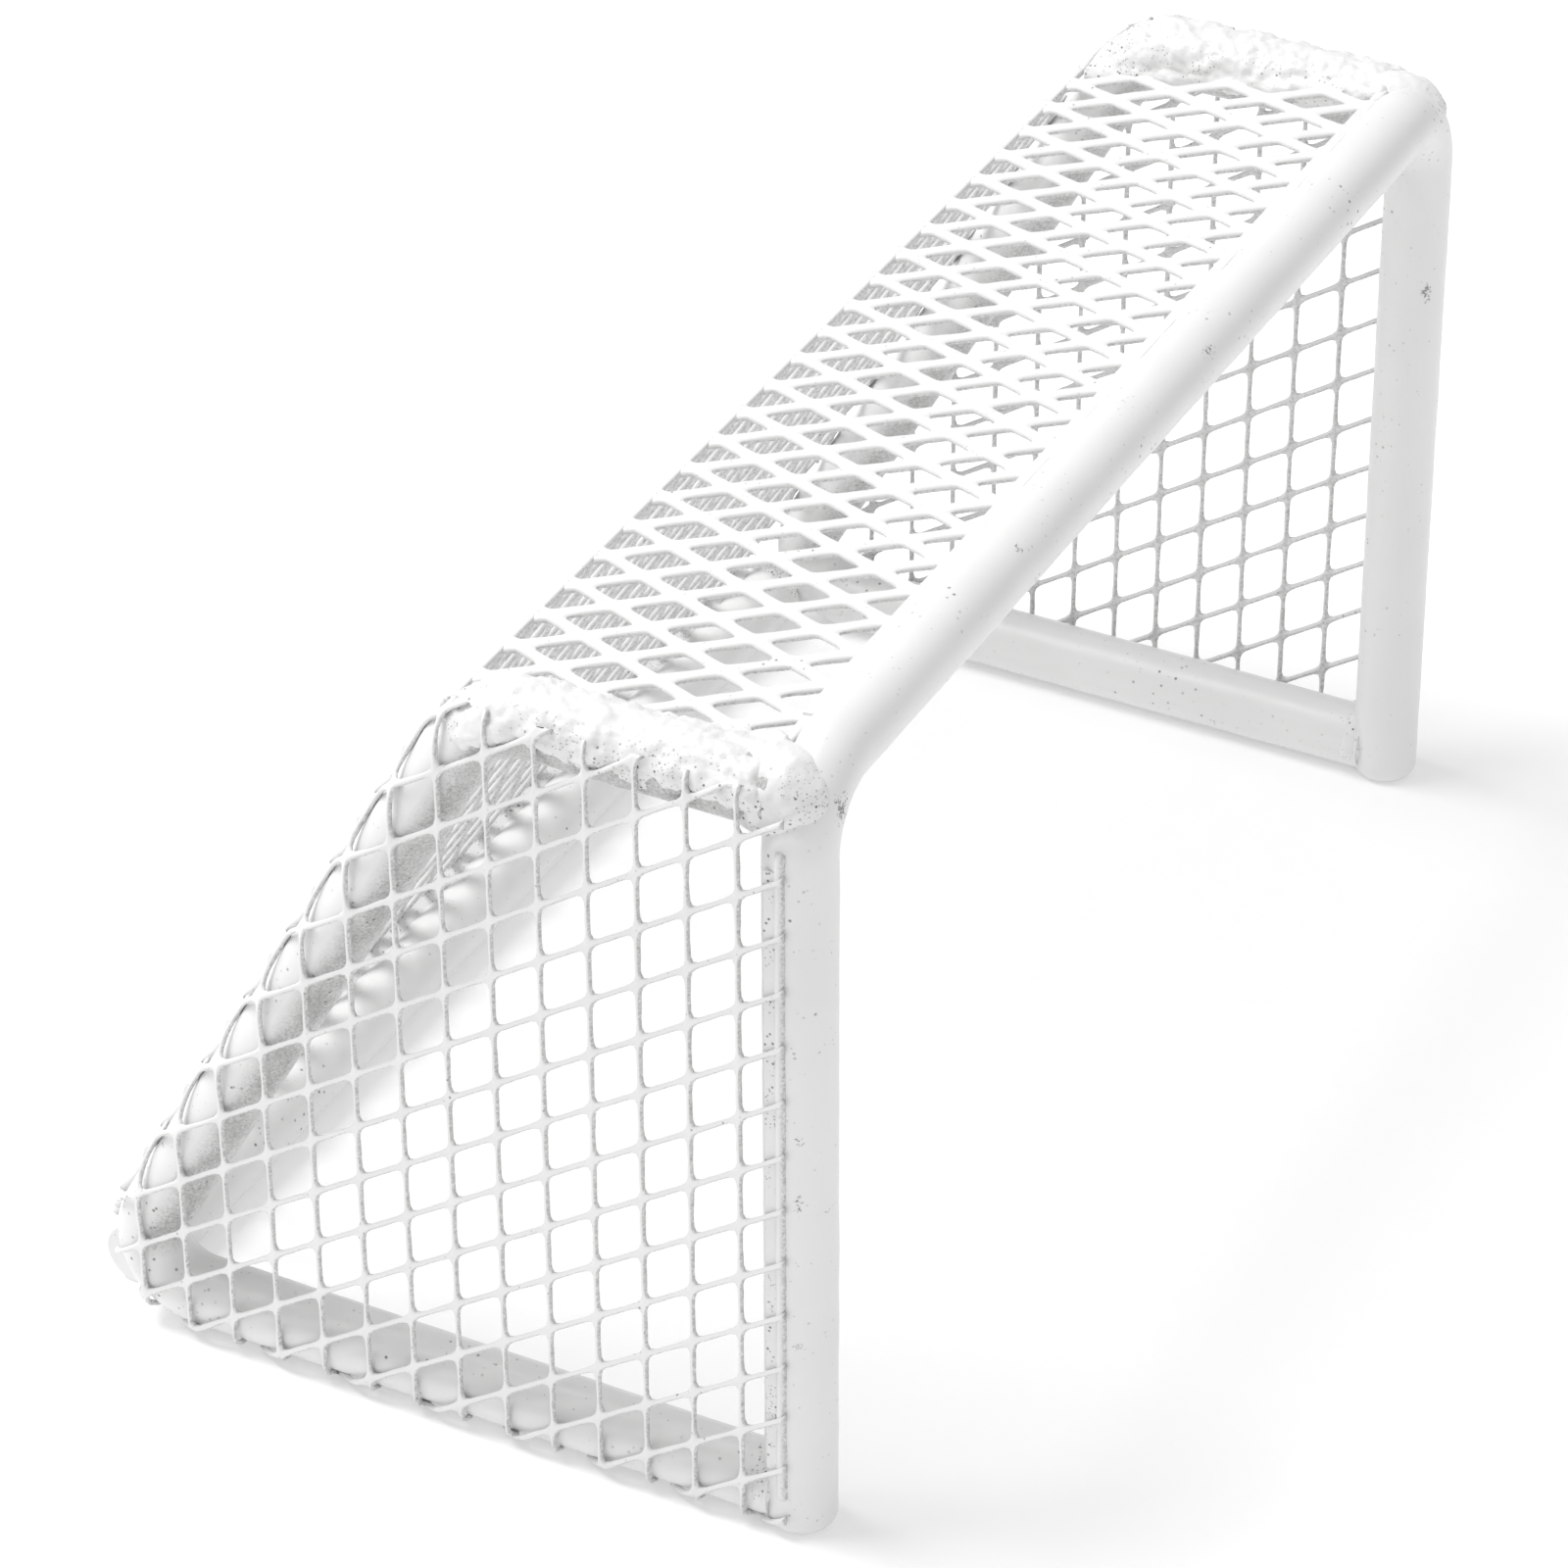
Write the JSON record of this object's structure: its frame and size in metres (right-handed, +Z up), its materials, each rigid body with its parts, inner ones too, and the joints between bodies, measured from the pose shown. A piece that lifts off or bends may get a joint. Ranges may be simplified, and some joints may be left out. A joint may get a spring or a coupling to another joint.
{
  "type": "miniature goal",
  "caption": "Small welded goal: a bent round-rod frame with white expanded-metal mesh on both sides, a gently sloping top sheet and a slanted back.",
  "frame": {"origin": "on the floor, under the centre of the overall box", "axes": "+X across the mouth, +Y from the mouth to the back, +Z up"},
  "size_m": [0.1718, 0.0948, 0.1],
  "materials": {
    "rod": "thick white paint, satin, with brush and weld marks",
    "mesh": "thick white paint, satin, rounded over the strands",
    "filler": "white paint over rough weld metal and filler"
  },
  "bodies": {
    "root": {"front_frame": "rod", "side_frame_left": "rod", "side_frame_right": "rod", "rear_bar": "rod", "net_left": "mesh", "net_right": "mesh", "roof_net": "mesh", "seam_bead_left": "filler", "seam_bead_right": "filler", "crossbar_bead": "filler", "rear_bead": "filler", "post_bead_left": "filler", "post_bead_right": "filler", "corner_weld_left": "filler", "corner_weld_right": "filler", "foot_weld_left": "filler", "foot_weld_right": "filler", "rear_weld_left": "filler", "rear_weld_right": "filler"}
  },
  "joints": []
}
